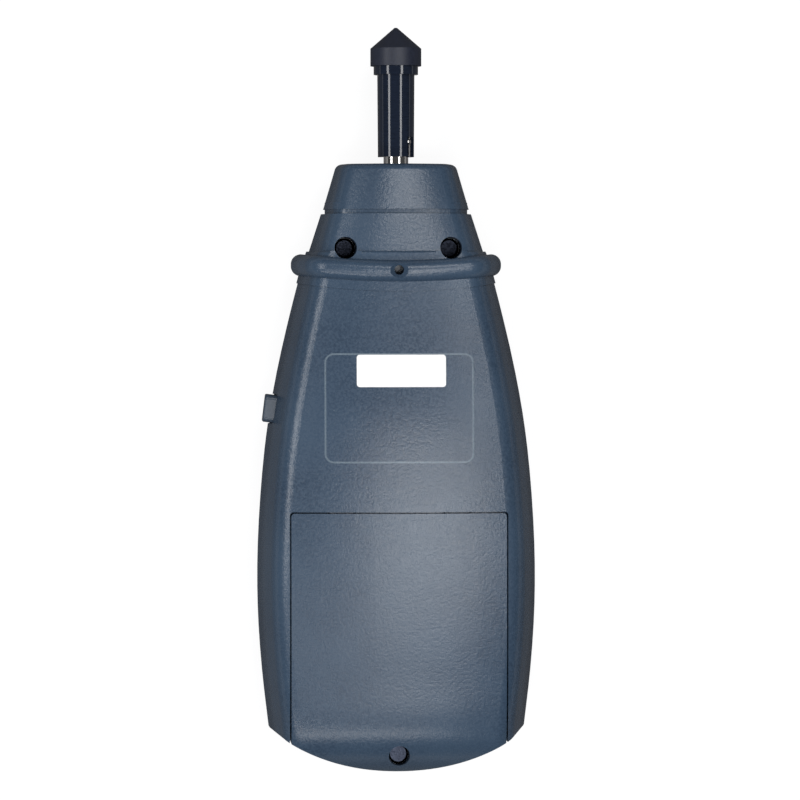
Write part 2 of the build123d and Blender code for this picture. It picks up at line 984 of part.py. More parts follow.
# Nose cap
with BuildPart() as nose_cap:
    add(cap_form(cap_base_station, cap_top_station, 0, True))
    add(cap_form(cap_base_station, cap_top_station, 0, False))
    top_rim = nose_cap.edges().filter_by(
        lambda edge: abs(edge.center().Y - (cap_top_station - half_length)) < touch
        and edge.length > cap_edge_radius
    )
    fillet(top_rim, cap_edge_radius)
    add(spigot_form(0, True, spigot_length + cap_wall))
    add(spigot_form(0, False, spigot_length + cap_wall))
    inner_top = cap_top_station - cap_wall
    for is_back in (True, False):
        add(cap_form(cap_base_station - wall, inner_top, cap_wall, is_back), mode=Mode.SUBTRACT)
        add(spigot_form(cap_wall - spigot_setback / 2, is_back, spigot_length + cap_wall / 2),
            mode=Mode.SUBTRACT)
    with BuildSketch(station_plane(inner_top)):
        Circle(spindle_radius + fit_gap)
    extrude(amount=2 * cap_wall, both=True, mode=Mode.SUBTRACT)
save(nose_cap.part, "nose_cap")


def door_tab(x):
    """Tab on a short foot that tucks under the back cover above the compartment."""
    start = door_top_station - 2 * door_gap - 2 * tab_reach
    xs = (x - tab_width / 2, x + tab_width / 2)
    with BuildPart() as tab:
        add(block(xs, (start, door_top_station + tab_reach),
                  (tab_bottom, tab_bottom + tab_thickness)))
        add(block(xs, (start, door_top_station - door_gap), (tab_bottom, above_housing)))
    return tab.part


# Battery door
with BuildPart() as door_shell:
    add(back_skin)
    add(door_prism(0), mode=Mode.INTERSECT)
    add(back_door_underside, mode=Mode.SUBTRACT)

with BuildPart() as door_fittings:
    add(post(0, door_screw_station, door_boss_radius, door_boss_bottom, above_housing))
    for x in (-tab_offset, tab_offset):
        add(door_tab(x))
    for x in rib_offsets:
        add(block((x - rib_width / 2, x + rib_width / 2),
                  (compartment_start + rib_margin, compartment_end - rib_margin),
                  (cell_height + cell_radius + rib_width, above_housing)))
    add(back_skin, mode=Mode.INTERSECT)

with BuildPart() as battery_door:
    add(door_shell.part)
    add(door_fittings.part)
    add(
        post(0, door_screw_station, door_screw_bore_radius, door_boss_bottom + door_boss_floor,
             above_housing),
        mode=Mode.SUBTRACT,
    )
    add(post(0, door_screw_station, pilot_radius, floor_bottom, above_housing),
        mode=Mode.SUBTRACT)
save(battery_door.part, "battery_door")


def screw(x, station, seat, length, head_radius, head_height, shank_radius):
    """Pan-head screw standing on its seat, with a cross recess, as a separate solid."""
    with BuildPart() as fastener:
        with BuildSketch(level(seat)):
            with Locations((x, station)):
                Circle(head_radius)
        extrude(amount=head_height)
        chamfer(fastener.edges().group_by(Axis.Z)[-1], head_height * head_rounding)
        with BuildSketch(level(seat)):
            with Locations((x, station)):
                Circle(shank_radius)
        extrude(amount=-length)
        with BuildSketch(level(seat + head_height)):
            with Locations((x, station)):
                Rectangle(head_radius * drive_length, head_radius * drive_width)
                Rectangle(head_radius * drive_width, head_radius * drive_length)
        extrude(amount=-head_height * drive_depth, mode=Mode.SUBTRACT)
    return fastener.part


def screw_set(places, seat, length, head_radius=screw_head_radius, head_height=screw_head_height,
              shank_radius=screw_shank_radius):
    """Identical screws at several places, kept as separate solids of one piece."""
    with BuildPart() as fasteners:
        for x, station in places:
            add(screw(x, station, seat, length, head_radius, head_height, shank_radius))
    return fasteners.part


# Screws
save(screw_set(nose_screws_at, nose_screw_seat, nose_screw_length), "nose_screws")
save(
    screw_set(housing_screws_at, floor_top, housing_screw_length, screw_head_radius,
              housing_head_height),
    "housing_screws",
)
save(
    screw_set(((0, door_screw_station),), door_boss_bottom + door_boss_floor, door_screw_length),
    "battery_door_screw",
)
save(
    screw_set(board_screws_at, board_top, board_screw_length, board_screw_head_radius,
              board_screw_head_height, board_screw_radius),
    "board_screws",
)

# White label plate
save(label_form(label_recess, label_recess - label_thickness, 0), "label_plate")


def cell(number):
    """One AA cell lying across the compartment; neighbours point opposite ways."""
    station = first_cell_station + cell_radius + number * (2 * cell_radius + cell_gap)
    side = 1 if number % 2 == 0 else -1
    nub_end = compartment_half_width - contact_thickness
    with BuildPart() as body:
        with BuildSketch(
            Plane(origin=(side * nub_end, station - half_length, cell_height),
                  x_dir=(-side, 0, 0), z_dir=(0, -side, 0))
        ):
            with BuildLine():
                Polyline(
                    (0, 0),
                    (0, cell_nub_radius),
                    (cell_nub_length, cell_nub_radius),
                    (cell_nub_length, cell_radius - cell_edge),
                    (cell_nub_length + cell_edge, cell_radius),
                    (cell_length - cell_edge, cell_radius),
                    (cell_length, cell_radius - cell_edge),
                    (cell_length, 0),
                    close=True,
                )
            make_face()
        revolve(axis=Axis((0, station - half_length, cell_height), (1, 0, 0)))
    return body.part


for number in range(cell_count):
    save(cell(number), "battery_" + str(number + 1))


def leaf(number, side):
    """Bowed leaf spring that presses on a cell's flat end."""
    station = first_cell_station + cell_radius + number * (2 * cell_radius + cell_gap)
    wall_face = compartment_half_width - contact_thickness
    crest = cell_length - wall_face + contact_thickness + seat_gap
    with BuildPart() as spring:
        with BuildSketch(level(cell_height - leaf_width / 2)):
            with BuildLine():
                ThreePointArc(
                    (side * wall_face, station - leaf_span / 2),
                    (side * crest, station),
                    (side * wall_face, station + leaf_span / 2),
                )
                ThreePointArc(
                    (side * wall_face, station + leaf_span / 2 + contact_thickness),
                    (side * (crest - contact_thickness), station),
                    (side * wall_face, station - leaf_span / 2 - contact_thickness),
                )
                Line(
                    (side * wall_face, station - leaf_span / 2),
                    (side * wall_face, station - leaf_span / 2 - contact_thickness),
                )
                Line(
                    (side * wall_face, station + leaf_span / 2),
                    (side * wall_face, station + leaf_span / 2 + contact_thickness),
                )
            make_face()
        extrude(amount=leaf_width)
    return spring.part


def contact_plate(first, last, side):
    """Flat contact behind the ends of one or two cells, with leaf springs at the flat ends."""
    pitch = 2 * cell_radius + cell_gap
    start = first_cell_station + cell_radius + first * pitch - terminal_width / 2
    end = first_cell_station + cell_radius + last * pitch + terminal_width / 2
    with BuildPart() as plate:
        inner = compartment_half_width - contact_thickness
        xs = sorted((side * inner, side * compartment_half_width))
        add(block(xs, (start, end),
                  (cell_height - contact_height / 2, cell_height + contact_height / 2)))
        for number in {first, last}:
            flat_end_side = -1 if number % 2 == 0 else 1
            if flat_end_side == side:
                add(leaf(number, side))
    return plate.part


with BuildPart() as right_contacts:
    add(contact_plate(0, 1, 1))
    add(contact_plate(2, 3, 1))
save(right_contacts.part, "right_contacts")
save(contact_plate(1, 2, -1), "left_contact")
with BuildPart() as terminals:
    add(contact_plate(0, 0, -1))
    add(contact_plate(3, 3, -1))
save(terminals.part, "battery_terminals")

# Display
save(
    rounded_prism(0, display_station, window_width - 2 * screw_clearance,
                  window_height - 2 * screw_clearance, window_land,
                  window_rebate - window_thickness, window_rebate),
    "display_window",
)

with BuildPart() as lcd_frame:
    add(
        rounded_prism(0, display_station, lcd_frame_width, lcd_frame_height, window_land,
                      0, board_bottom)
    )
    add(
        block((-lcd_width / 2 - seat_gap, lcd_width / 2 + seat_gap),
              (display_station - lcd_height / 2 - seat_gap,
               display_station + lcd_height / 2 + seat_gap),
              (wall + lcd_frame_lip, board_bottom)),
        mode=Mode.SUBTRACT,
    )
    add(
        block((-lcd_width / 2 + window_land, lcd_width / 2 - window_land),
              (display_station - lcd_height / 2 + window_land,
               display_station + lcd_height / 2 - window_land),
              (0, board_bottom)),
        mode=Mode.SUBTRACT,
    )
    add(front_body(wall + seat_gap / 2), mode=Mode.INTERSECT)
save(lcd_frame.part, "lcd_frame")

lcd_back = wall + lcd_frame_lip + lcd_thickness
with BuildPart() as lcd_panel:
    add(
        block((-lcd_width / 2, lcd_width / 2),
              (display_station - lcd_height / 2, display_station + lcd_height / 2),
              (wall + lcd_frame_lip, lcd_back))
    )
save(lcd_panel.part, "lcd_panel")

with BuildPart() as elastomer_strips:
    for side in (-1, 1):
        centre = display_station + side * (lcd_height / 2 - strip_width)
        add(
            block((-lcd_width / 2 + window_land, lcd_width / 2 - window_land),
                  (centre - strip_width / 2, centre + strip_width / 2),
                  (lcd_back, board_bottom))
        )
save(elastomer_strips.part, "elastomer_strips")

# Main board and what stands on it
with BuildPart() as main_board:
    with BuildSketch(level(board_bottom)):
        with BuildLine():
            Polyline(
                (-board_half_width, board_bottom_station),
                (-board_half_width, board_shoulder_station),
                (-board_top_half_width, board_top_station),
                (-board_notch_half_width, board_top_station),
                (-board_notch_half_width, board_notch_station),
                (board_notch_half_width, board_notch_station),
                (board_notch_half_width, board_top_station),
                (board_top_half_width, board_top_station),
                (board_half_width, board_shoulder_station),
                (board_half_width, board_bottom_station),
                close=True,
            )
        make_face()
        with Locations(*board_screws_at):
            Circle(board_screw_radius + screw_clearance, mode=Mode.SUBTRACT)
    extrude(amount=board_thickness)
save(main_board.part, "main_board")


def chip(x, station, width, height, thickness):
    """Flat component package on the board."""
    return block((x - width / 2, x + width / 2), (station - height / 2, station + height / 2),
                 (board_top, board_top + thickness))


save(chip(chip_offset, chip_station, chip_size, chip_size, chip_thickness), "controller_chip")
save(
    rounded_prism(crystal_offset, chip_station, crystal_width, crystal_height,
                  crystal_corner_radius, board_top, board_top + crystal_thickness),
    "crystal",
)
with BuildPart() as capacitors:
    for station in capacitor_stations:
        add(post(capacitor_offset, station, capacitor_radius, board_top,
                 board_top + capacitor_height))
save(capacitors.part, "capacitors")

# Measuring button, its plunger and its switch
face_plane = button_plane()
with BuildPart() as measuring_button:
    with BuildSketch(face_plane):
        RectangleRounded(button_length, button_height, button_corner_radius)
    extrude(amount=-button_depth)
    fillet(measuring_button.faces().sort_by(Axis.X)[0].edges(), button_edge_radius)
    with BuildSketch(face_plane.offset(-button_depth)):
        Rectangle(button_length + 2 * button_flange, button_height)
    extrude(amount=-button_flange_thickness)
    with BuildSketch(face_plane.offset(-button_depth - button_flange_thickness)):
        Circle(button_stem_radius)
    extrude(amount=-button_stem_length)
    with Locations(face_plane.offset(button_dish_radius - button_dish_depth).origin):
        Sphere(button_dish_radius, mode=Mode.SUBTRACT)
save(measuring_button.part, "measuring_button")

plunger_start = button_depth + button_flange_thickness + button_stem_length
switch_start = plunger_start + switch_setback
with BuildPart() as measuring_plunger:
    with BuildSketch(face_plane.offset(-plunger_start)):
        Circle(plunger_radius)
    extrude(amount=-plunger_length)
save(measuring_plunger.part, "measuring_plunger")

switch_plane = Plane(
    origin=(face_plane.offset(-switch_start).origin.X, face_plane.offset(-switch_start).origin.Y,
            board_top),
    x_dir=face_plane.x_dir,
    z_dir=(0, 0, 1),
)
with BuildPart() as measuring_switch:
    with BuildSketch(switch_plane):
        with Locations((0, -switch_depth / 2)):
            Rectangle(switch_width, switch_depth)
    extrude(amount=switch_top - board_top)
    with BuildSketch(face_plane.offset(-switch_start)):
        Circle(plunger_radius + plunger_clearance)
    extrude(amount=-plunger_length + switch_setback - button_travel - fit_gap,
            mode=Mode.SUBTRACT)
save(measuring_switch.part, "measuring_switch")

# Function switch and its knob
with BuildPart() as function_knob:
    add(knob_window(knob_setback, knob_pocket_depth - seat_gap, knob_width, knob_height))
    for index in range(knob_groove_count):
        x = knob_offset + (index - (knob_groove_count - 1) / 2) * knob_groove_pitch
        add(
            block((x - knob_groove_pitch / 4, x + knob_groove_pitch / 4),
                  (control_station - knob_height / 2, control_station + knob_height / 2),
                  (knob_setback, knob_setback + knob_groove_depth)),
            mode=Mode.SUBTRACT,
        )
    add(knob_window(knob_pocket_depth - seat_gap, knob_stem_top, knob_stem_width,
                    knob_stem_height))
save(function_knob.part, "function_knob")

with BuildPart() as function_switch:
    add(knob_window(function_switch_bottom, board_bottom, function_switch_width,
                    function_switch_height))
    add(
        knob_window(function_switch_bottom, knob_stem_top + fit_gap,
                    knob_stem_width + 2 * knob_travel + 2 * fit_gap,
                    knob_stem_height + 2 * fit_gap),
        mode=Mode.SUBTRACT,
    )
save(function_switch.part, "function_switch")

# Memory button, its plunger and its switch
with BuildPart() as memory_button:
    add(post(memory_offset, control_station, memory_radius, memory_setback,
             wall + seat_gap + memory_flange_thickness))
    add(post(memory_offset, control_station, memory_flange_radius, wall + seat_gap,
             wall + seat_gap + memory_flange_thickness))
    add(post(memory_offset, control_station, memory_stem_radius, wall + seat_gap,
             memory_stem_top))
save(memory_button.part, "memory_button")
save(post(memory_offset, control_station, memory_plunger_radius, memory_stem_top,
          memory_plunger_top), "memory_plunger")
with BuildPart() as memory_switch:
    half = memory_switch_size / 2
    add(block((memory_offset - half, memory_offset + half),
              (control_station - half, control_station + half),
              (memory_switch_bottom, board_bottom)))
    add(post(memory_offset, control_station, memory_plunger_radius + plunger_clearance,
             memory_switch_bottom, memory_plunger_top + button_travel),
        mode=Mode.SUBTRACT)
save(memory_switch.part, "memory_switch")


def turned(*corners):
    """Solid of revolution about the spindle axis from (radius, station) corners."""
    with BuildPart() as solid:
        with BuildSketch(level(spindle_height)):
            with BuildLine():
                Polyline(*corners, close=True)
            make_face()
        revolve(axis=spindle_axis)
    return solid.part


# Spindle with its tail, journals and a groove for the retaining ring
ring_start = rear_bearing_station - ring_width - seat_gap
pin_direction = (sin(radians(pin_angle)), 0, cos(radians(pin_angle)))
pin_plane = Plane(
    origin=(0, pin_station - half_length, spindle_height), x_dir=(0, 1, 0), z_dir=pin_direction
)
shoulder_of_spindle = front_bearing_station + bearing_width + seat_gap
with BuildPart() as spindle:
    add(
        turned(
            (0, spindle_tail_station),
            (spindle_tail_radius, spindle_tail_station),
            (spindle_tail_radius, spindle_step_station),
            (journal_radius, spindle_step_station),
            (journal_radius, ring_start),
            (journal_radius - ring_groove, ring_start),
            (journal_radius - ring_groove, ring_start + ring_width),
            (journal_radius, ring_start + ring_width),
            (journal_radius, shoulder_of_spindle),
            (spindle_radius, shoulder_of_spindle),
            (spindle_radius, spindle_end_station - spindle_chamfer),
            (spindle_radius - spindle_chamfer, spindle_end_station),
            (0, spindle_end_station),
        )
    )
    with BuildSketch(pin_plane):
        Circle(pin_radius)
    extrude(amount=2 * spindle_radius, both=True, mode=Mode.SUBTRACT)
save(spindle.part, "spindle")

with BuildPart() as cross_pin:
    with BuildSketch(pin_plane):
        Circle(pin_radius)
    extrude(amount=pin_length / 2, both=True)
    chamfer(cross_pin.edges().filter_by(GeomType.CIRCLE), pin_radius / 4)
save(cross_pin.part, "cross_pin")

# Encoder disc with its slots, on a turned hub
with BuildPart() as encoder_disc:
    with BuildSketch(station_plane(disc_station)):
        Circle(disc_radius)
        Circle(spindle_tail_radius, mode=Mode.SUBTRACT)
        with PolarLocations(disc_slot_radius, disc_slot_count):
            Rectangle(disc_slot_length, disc_slot_width, mode=Mode.SUBTRACT)
    extrude(amount=-disc_thickness)
save(encoder_disc.part, "encoder_disc")
save(
    turned(
        (spindle_tail_radius, disc_station - hub_length),
        (hub_boss_radius, disc_station - hub_length),
        (hub_boss_radius, disc_station - hub_flange),
        (hub_radius, disc_station - hub_flange),
        (hub_radius, disc_station),
        (spindle_tail_radius, disc_station),
    ),
    "disc_hub",
)

with BuildPart() as retaining_ring:
    with BuildSketch(station_plane(ring_start)):
        Circle(ring_radius)
        Circle(journal_radius - ring_groove, mode=Mode.SUBTRACT)
        with Locations((0, -ring_radius)):
            Rectangle(journal_radius, 2 * ring_radius - journal_radius, mode=Mode.SUBTRACT)
    extrude(amount=-ring_width)
save(retaining_ring.part, "retaining_ring")


def bearing(start):
    """Shielded ball bearing between the block and a journal, with recessed shields."""
    inner = journal_radius + bearing_clearance
    land = (bearing_radius - inner) / 4
    end = start + bearing_width
    return turned(
        (inner, start),
        (inner + land, start),
        (inner + land, start + bearing_recess),
        (bearing_radius - land, start + bearing_recess),
        (bearing_radius - land, start),
        (bearing_radius, start),
        (bearing_radius, end),
        (bearing_radius - land, end),
        (bearing_radius - land, end - bearing_recess),
        (inner + land, end - bearing_recess),
        (inner + land, end),
        (inner, end),
    )


save(bearing(rear_bearing_station), "rear_bearing")
save(bearing(front_bearing_station), "front_bearing")

save(
    turned(
        (bearing_radius, rear_bearing_station),
        (block_radius, rear_bearing_station),
        (block_radius, block_flange_station),
        (block_flange_radius, block_flange_station),
        (block_flange_radius, block_flange_station + block_flange_width),
        (block_radius, block_flange_station + block_flange_width),
        (block_radius, front_bearing_station + bearing_width),
        (bearing_radius, front_bearing_station + bearing_width),
        (bearing_radius, front_bearing_station),
        (block_bore_radius, front_bearing_station),
        (block_bore_radius, rear_bearing_station + bearing_width),
        (bearing_radius, rear_bearing_station + bearing_width),
    ),
    "bearing_block",
)

# Photo interrupter that straddles the encoder disc
disc_middle = disc_station + disc_thickness / 2
interrupter_half = interrupter_gap / 2 + interrupter_arm
with BuildPart() as photo_interrupter:
    add(block((-interrupter_reach - interrupter_width, -interrupter_reach),
              (disc_middle - interrupter_half, disc_middle + interrupter_half),
              (board_top, board_top + interrupter_height)))
    add(
        block((-interrupter_reach - interrupter_slot_depth, 0),
              (disc_middle - interrupter_gap / 2, disc_middle + interrupter_gap / 2),
              (0, above_housing)),
        mode=Mode.SUBTRACT,
    )
save(photo_interrupter.part, "photo_interrupter")

# Adapter sleeve with its cross slots, and the rubber cone
sleeve_bore = spindle_radius + sleeve_bore_clearance
with BuildPart() as adapter_sleeve:
    add(
        turned(
            (sleeve_bore, sleeve_bottom_station),
            (sleeve_mouth_radius, sleeve_bottom_station),
            (sleeve_radius, sleeve_top_station),
            (collar_radius, sleeve_top_station),
            (collar_radius, sleeve_top_station + collar_height),
            (cone_stem_radius, sleeve_top_station + collar_height),
            (cone_stem_radius, spindle_end_station + sleeve_bore_spare),
            (sleeve_bore, spindle_end_station + sleeve_bore_spare),
        )
    )
    with BuildSketch(pin_plane):
        with Locations((sleeve_bottom_station - pin_station + slot_length / 2 - slot_width / 4, 0)):
            Rectangle(slot_length + slot_width / 2, slot_width)
    extrude(amount=2 * sleeve_radius, both=True, mode=Mode.SUBTRACT)
save(adapter_sleeve.part, "adapter_sleeve")

cone_base = sleeve_top_station + collar_height
with BuildPart() as rubber_cone:
    add(
        turned(
            (0, cone_base - cone_stem_length),
            (cone_stem_radius, cone_base - cone_stem_length),
            (cone_stem_radius, cone_base),
            (cone_radius, cone_base),
            (cone_radius, cone_base + cone_skirt),
            (cone_tip_radius, cone_base + cone_skirt + cone_height),
            (0, cone_base + cone_skirt + cone_height),
        )
    )
save(rubber_cone.part, "rubber_cone")
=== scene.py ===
import bpy
from mathutils import Euler, Matrix, Vector

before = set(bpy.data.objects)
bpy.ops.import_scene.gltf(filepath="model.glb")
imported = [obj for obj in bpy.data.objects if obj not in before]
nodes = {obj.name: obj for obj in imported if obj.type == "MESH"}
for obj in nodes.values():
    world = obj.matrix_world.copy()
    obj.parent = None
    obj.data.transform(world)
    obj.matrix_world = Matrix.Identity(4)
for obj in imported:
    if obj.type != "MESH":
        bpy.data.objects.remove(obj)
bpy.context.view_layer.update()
scene = bpy.context.scene

# The part lies along Y with its back up; all measures are in metres
HALF_LENGTH = 0.09745
PARTING_HEIGHT = 0.0185
BACK_HEIGHT = 0.030

# Painted highlight along the engraved frame on the back: a light line where its groove
# would catch the light
PANEL_HALF_WIDTH = 0.0194
PANEL_HALF_HEIGHT = 0.014225
PANEL_STATION = 0.0952
PANEL_CORNER_RADIUS = 0.0024
PANEL_LINE = 0.00035
PANEL_LINE_EDGE = 0.00004

# The real housing is slightly convex where the CAD is straight: its sides near
# the parting plane, and its back along Y, in rows of (from Y, to Y, tilt, tilt)
SIDE_REACH = 0.0085
SIDE_TILT = 0.27
BOW = (
    (-0.090, 0.004, -0.09, 0.0405),
    (0.004, 0.026, 0.0, -0.081),
    (0.034, 0.038, 0.0, 0.0405),
)

# Dust on the housing: specks in small cells, and only in patches of a broad noise
SPECK_SCALE = 420
SPECK_EDGE, SPECK_CORE = 0.045, 0.02
PATCH_SCALE = 95
PATCH_EDGE, PATCH_CORE = 0.62, 0.66

# Values between which a noise texture mostly lies
NOISE_LOW, NOISE_HIGH = 0.3, 0.7

# Colour sockets of the Mix node; their names are those of its number sockets
MIX_A, MIX_B, MIX_RESULT = 6, 7, 2


# Shader building blocks


def srgb(*rgb):
    """8-bit sRGB values as linear colour."""
    out = []
    for v in rgb:
        v = v / 255
        out.append(v / 12.92 if v <= 0.04045 else ((v + 0.055) / 1.055) ** 2.4)
    return (*out, 1.0)


class Graph:
    """One material's node tree; its helpers take and give sockets."""

    def __init__(self, name):
        self.material = bpy.data.materials.new(name)
        self.material.use_nodes = True
        self.tree = self.material.node_tree
        self.tree.nodes.clear()
        self.surface = self.node("OutputMaterial").inputs["Surface"]
        self.shader = self.node("BsdfPrincipled")
        self.feed(self.surface, self.shader.outputs["BSDF"])
        self.place = self.node("TexCoord").outputs["Object"]

    def node(self, kind, **settings):
        n = self.tree.nodes.new("ShaderNode" + kind)
        for key, value in settings.items():
            setattr(n, key, value)
        return n

    def feed(self, socket, value):
        """Link another socket into this one, or set its number or colour."""
        if isinstance(value, bpy.types.NodeSocket):
            self.tree.links.new(value, socket)
        else:
            socket.default_value = value

    def noise(self, scale, detail, rough, stretch=None):
        place = self.place
        if stretch:
            mapping = self.node("Mapping")
            self.feed(mapping.inputs["Scale"], stretch)
            self.feed(mapping.inputs["Vector"], place)
            place = mapping.outputs["Vector"]
        n = self.node("TexNoise")
        self.feed(n.inputs["Scale"], scale)
        self.feed(n.inputs["Detail"], detail)
        self.feed(n.inputs["Roughness"], rough)
        self.feed(n.inputs["Vector"], place)
        return n.outputs["Fac"]

    def ramp(self, value, low, high, a=0.0, b=1.0, interpolation="LINEAR"):
        n = self.node("MapRange", interpolation_type=interpolation)
        self.feed(n.inputs["Value"], value)
        self.feed(n.inputs["From Min"], low)
        self.feed(n.inputs["From Max"], high)
        self.feed(n.inputs["To Min"], a)
        self.feed(n.inputs["To Max"], b)
        return n.outputs["Result"]

    def spread(self, noise, a=0.0, b=1.0):
        """A noise texture's values spread from a to b."""
        return self.ramp(noise, NOISE_LOW, NOISE_HIGH, a, b)

    def mix(self, factor, a, b):
        """Mix of two colours."""
        n = self.node("Mix", data_type="RGBA")
        self.feed(n.inputs["Factor"], factor)
        self.feed(n.inputs[MIX_A], a)
        self.feed(n.inputs[MIX_B], b)
        return n.outputs[MIX_RESULT]

    def math(self, operation, *values):
        n = self.node("Math", operation=operation)
        for socket, value in zip(n.inputs, values):
            self.feed(socket, value)
        return n.outputs["Value"]

    def vector_math(self, operation, *vectors):
        n = self.node("VectorMath", operation=operation)
        for socket, vector in zip(n.inputs, vectors):
            self.feed(socket, vector)
        return n.outputs["Vector"]

    def bump(self, height, strength, distance, under=None):
        n = self.node("Bump")
        self.feed(n.inputs["Height"], height)
        self.feed(n.inputs["Strength"], strength)
        self.feed(n.inputs["Distance"], distance)
        if under:
            self.feed(n.inputs["Normal"], under)
        return n.outputs["Normal"]

    def axes(self):
        """X, Y and Z of the object's coordinates."""
        n = self.node("SeparateXYZ")
        self.feed(n.inputs["Vector"], self.place)
        return tuple(n.outputs)

    def dusty(self, colour):
        """The colour with sparse specks of dust."""
        cells = self.node("TexVoronoi")
        self.feed(cells.inputs["Scale"], SPECK_SCALE)
        self.feed(cells.inputs["Vector"], self.place)
        speck = self.ramp(cells.outputs["Distance"], SPECK_EDGE, SPECK_CORE)
        broad = self.noise(PATCH_SCALE, detail=1.0, rough=0.5)
        patch = self.ramp(broad, PATCH_EDGE, PATCH_CORE)
        return self.mix(self.math("MULTIPLY", speck, patch), colour, srgb(150, 158, 166))

    def painted_frame_highlight(self, colour):
        """The colour with a painted highlight: a light rounded line along the engraved
        frame on the back, where its groove would catch the light.
        """
        x, y, z = self.axes()
        beyond = []
        for axis, middle, half in (
            (x, 0.0, PANEL_HALF_WIDTH),
            (y, PANEL_STATION - HALF_LENGTH, PANEL_HALF_HEIGHT),
        ):
            away = self.math("ABSOLUTE", self.math("SUBTRACT", axis, middle))
            inner = self.math("SUBTRACT", away, half - PANEL_CORNER_RADIUS)
            beyond.append(self.math("POWER", self.math("MAXIMUM", inner, 0.0), 2.0))
        radius = self.math("SQRT", self.math("ADD", *beyond))
        highlight_radius = PANEL_CORNER_RADIUS - PANEL_LINE / 2
        off = self.math("ABSOLUTE", self.math("SUBTRACT", radius, highlight_radius))
        line = self.math("LESS_THAN", off, PANEL_LINE / 2 + PANEL_LINE_EDGE)
        on_back = self.math("GREATER_THAN", z, BACK_HEIGHT)
        # Painted highlight: the frame's line is lighter, as if its groove caught the light
        return self.mix(self.math("MULTIPLY", line, on_back), colour, srgb(118, 133, 146))

    def convex(self, bowed):
        """The surface's normal, tilted as the convex sides and back would have it."""
        _, y, z = self.axes()
        low, high = PARTING_HEIGHT - SIDE_REACH, PARTING_HEIGHT + SIDE_REACH
        above = self.ramp(z, PARTING_HEIGHT, high, -SIDE_TILT, 0.0, "SMOOTHSTEP")
        below = self.ramp(z, low, PARTING_HEIGHT, 0.0, SIDE_TILT / 2, "SMOOTHSTEP")
        side = self.node("Mix")
        self.feed(side.inputs["Factor"], self.math("GREATER_THAN", z, PARTING_HEIGHT))
        self.feed(side.inputs["A"], below)
        self.feed(side.inputs["B"], above)
        tilt = self.node("CombineXYZ")
        self.feed(tilt.inputs["Z"], side.outputs["Result"])
        if bowed:
            body, neck, nose = (self.ramp(y, *row) for row in BOW)
            along = self.math("ADD", self.math("ADD", body, neck), nose)
            self.feed(tilt.inputs["Y"], along)
        normal = self.node("NewGeometry").outputs["Normal"]
        total = self.vector_math("ADD", normal, tilt.outputs["Vector"])
        return self.vector_math("NORMALIZE", total)

    def finish(self, **values):
        """Feed the shader's inputs and give the material."""
        for key, value in values.items():
            self.feed(self.shader.inputs[key.replace("_", " ")], value)
        return self.material


def moulded(name, dark, light, rough, grain, depth, mottling=0.35, case=False, back=False):
    """Moulded plastic with a fine spark-eroded texture; case and back are the housing's
    dust and convex sides, and its painted highlight along the engraved frame and bowed
    back."""
    g = Graph(name)
    tone = g.ramp(g.noise(38, detail=4.0, rough=0.55), 0.35, 0.65)
    colour = g.mix(tone, dark, light)
    fine = g.noise(grain, detail=2.0, rough=0.6)
    pits = g.noise(grain * 2.3, detail=1.0, rough=0.5)
    colour = g.mix(g.spread(fine, 0.0, mottling), colour, light)
    if case:
        colour = g.dusty(colour)
    # Painted highlight along the engraved frame on the back
    if back:
        colour = g.painted_frame_highlight(colour)
    form = g.convex(bowed=back) if case else None
    texture = g.bump(fine, strength=0.55, distance=depth, under=form)
    return g.finish(
        Base_Color=colour,
        Roughness=g.spread(fine, *rough),
        Normal=g.bump(pits, strength=0.35, distance=depth * 0.6, under=texture),
        IOR=1.5,
    )


def marked(name, dark, light, rough, stretch, detail, fineness, depth, **values):
    """Surface with fine marks that vary its colour, gloss and height."""
    g = Graph(name)
    marks = g.noise(1.0, detail, fineness, stretch)
    return g.finish(
        Base_Color=g.mix(g.spread(marks), dark, light),
        Roughness=g.spread(marks, *rough),
        Normal=g.bump(marks, strength=0.4, distance=depth),
        **values,
    )


def metal(name, dark, light, rough, stretch=(400, 400, 400)):
    """Turned, ground or plated metal."""
    return marked(name, dark, light, rough, stretch, 5.0, 0.6, 0.000004, Metallic=1.0)


def coated(name, dark, light, rough, stretch=(300, 300, 300), depth=0.000006):
    """Painted, printed or wrapped surface."""
    return marked(name, dark, light, rough, stretch, 4.0, 0.55, depth)


def clear(name):
    """Clear plastic with faint wear."""
    g = Graph(name)
    marks = g.noise(260, detail=3.0, rough=0.5)
    return g.finish(
        Base_Color=g.mix(g.spread(marks), (0.9, 0.93, 0.93, 1), (0.96, 0.98, 0.98, 1)),
        Roughness=g.spread(marks, 0.02, 0.06),
        Transmission_Weight=1.0,
        IOR=1.49,
    )


# Materials

slate = {
    "dark": srgb(47, 63, 82),
    "light": srgb(61, 79, 99),
    "rough": (0.24, 0.31),
    "grain": 1400,
    "depth": 0.00010,
    "mottling": 0.9,
}
housing = moulded("housing_plastic", **slate, case=True, back=True)
cap = moulded("cap_plastic", **slate, case=True)
button = moulded(
    "button_plastic", srgb(45, 57, 71), srgb(55, 68, 83), (0.3, 0.4), 3200, 0.000012
)
black_plastic = moulded(
    "black_plastic", srgb(20, 20, 22), srgb(28, 28, 30), (0.4, 0.5), 2200, 0.00001
)
light_plastic = moulded(
    "light_plastic", srgb(196, 196, 190), srgb(210, 210, 204), (0.35, 0.45), 2200, 0.00001
)
steel = metal(
    "polished_steel", (0.60, 0.59, 0.57, 1), (0.72, 0.70, 0.68, 1), (0.05, 0.11),
    (500, 4000, 500),
)
dark_screw = metal(
    "dark_plated_screw", (0.012, 0.015, 0.024, 1), (0.035, 0.04, 0.056, 1), (0.16, 0.24),
    (2500, 2500, 2500),
)
